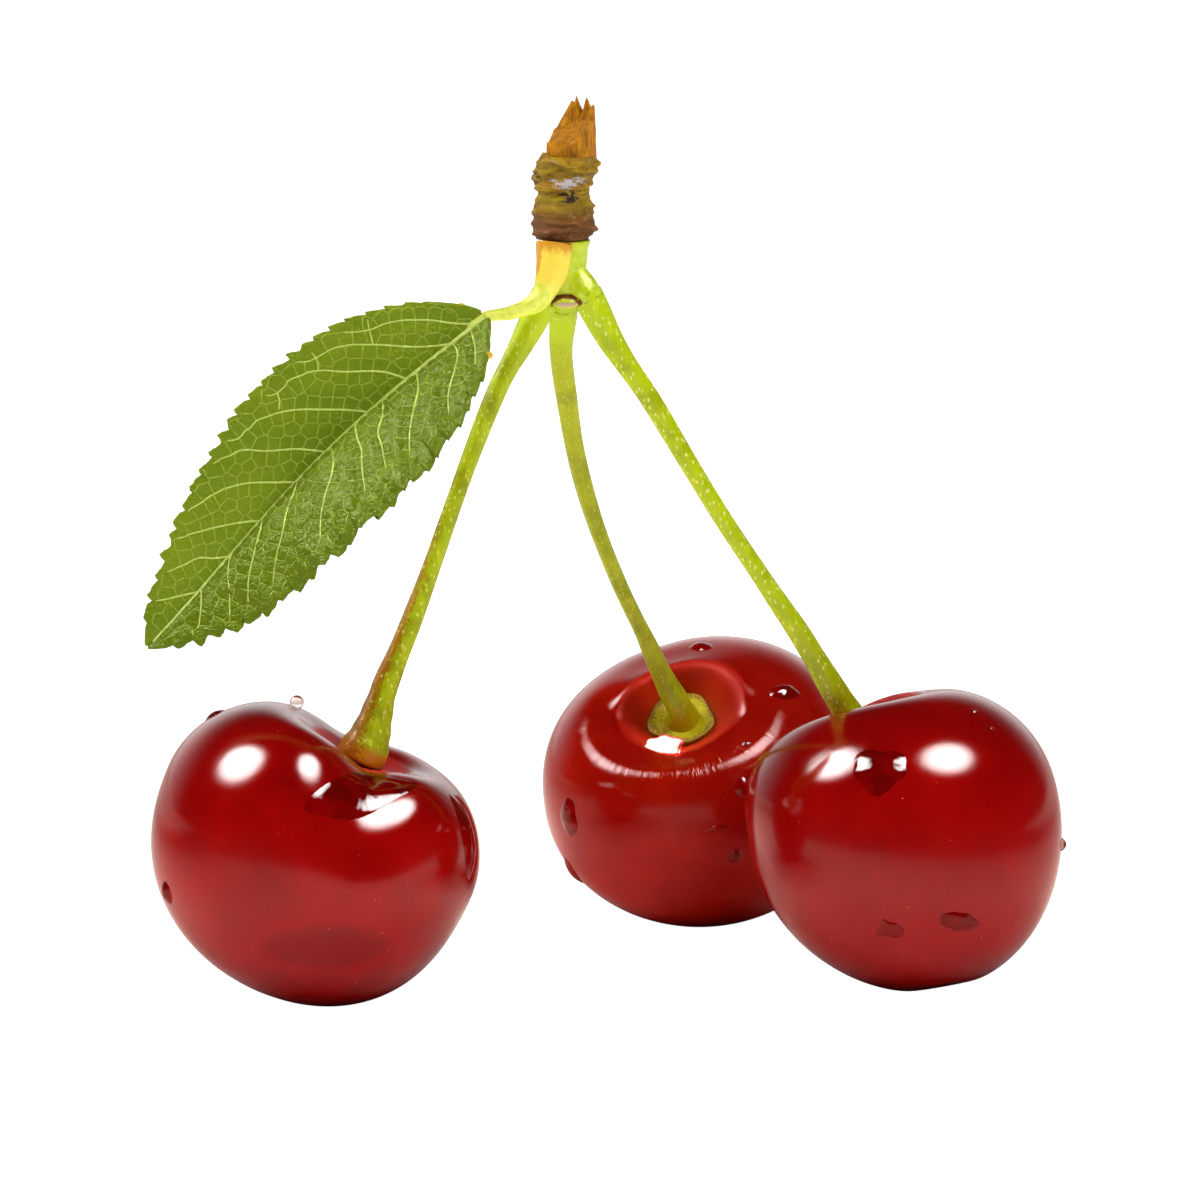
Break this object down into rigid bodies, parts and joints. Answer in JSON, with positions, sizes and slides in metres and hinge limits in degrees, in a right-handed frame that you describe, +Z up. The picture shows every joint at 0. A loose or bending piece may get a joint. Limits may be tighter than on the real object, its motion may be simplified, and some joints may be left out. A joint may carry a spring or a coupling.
{
  "type": "cherry cluster",
  "caption": "Ripe red sour cherries on long green stalks that meet at a broken woody spur, with a toothed green leaf, standing on their fruits.",
  "frame": {"origin": "under the middle of the cluster's outline, on the plane that the fruits rest on", "axes": "+Z up, +X from the leaf's side to the other, +Y from the front fruits to the back one"},
  "size_m": [0.0646, 0.0478, 0.0633],
  "materials": {
    "cherry_skin": "gloss",
    "cherry_skin_light": "gloss",
    "stalk": "satin",
    "collar": "satin",
    "bark": "matte",
    "torn_wood": "matte",
    "leaf": "satin"
  },
  "bodies": {
    "root": {"cherry_left": "cherry_skin", "cherry_right": "cherry_skin", "cherry_back": "cherry_skin_light", "stalk_left": "stalk", "stalk_right": "stalk", "stalk_back": "stalk", "collar": "collar", "bark": "bark", "torn_wood": "torn_wood", "leaf": "leaf"}
  },
  "joints": []
}
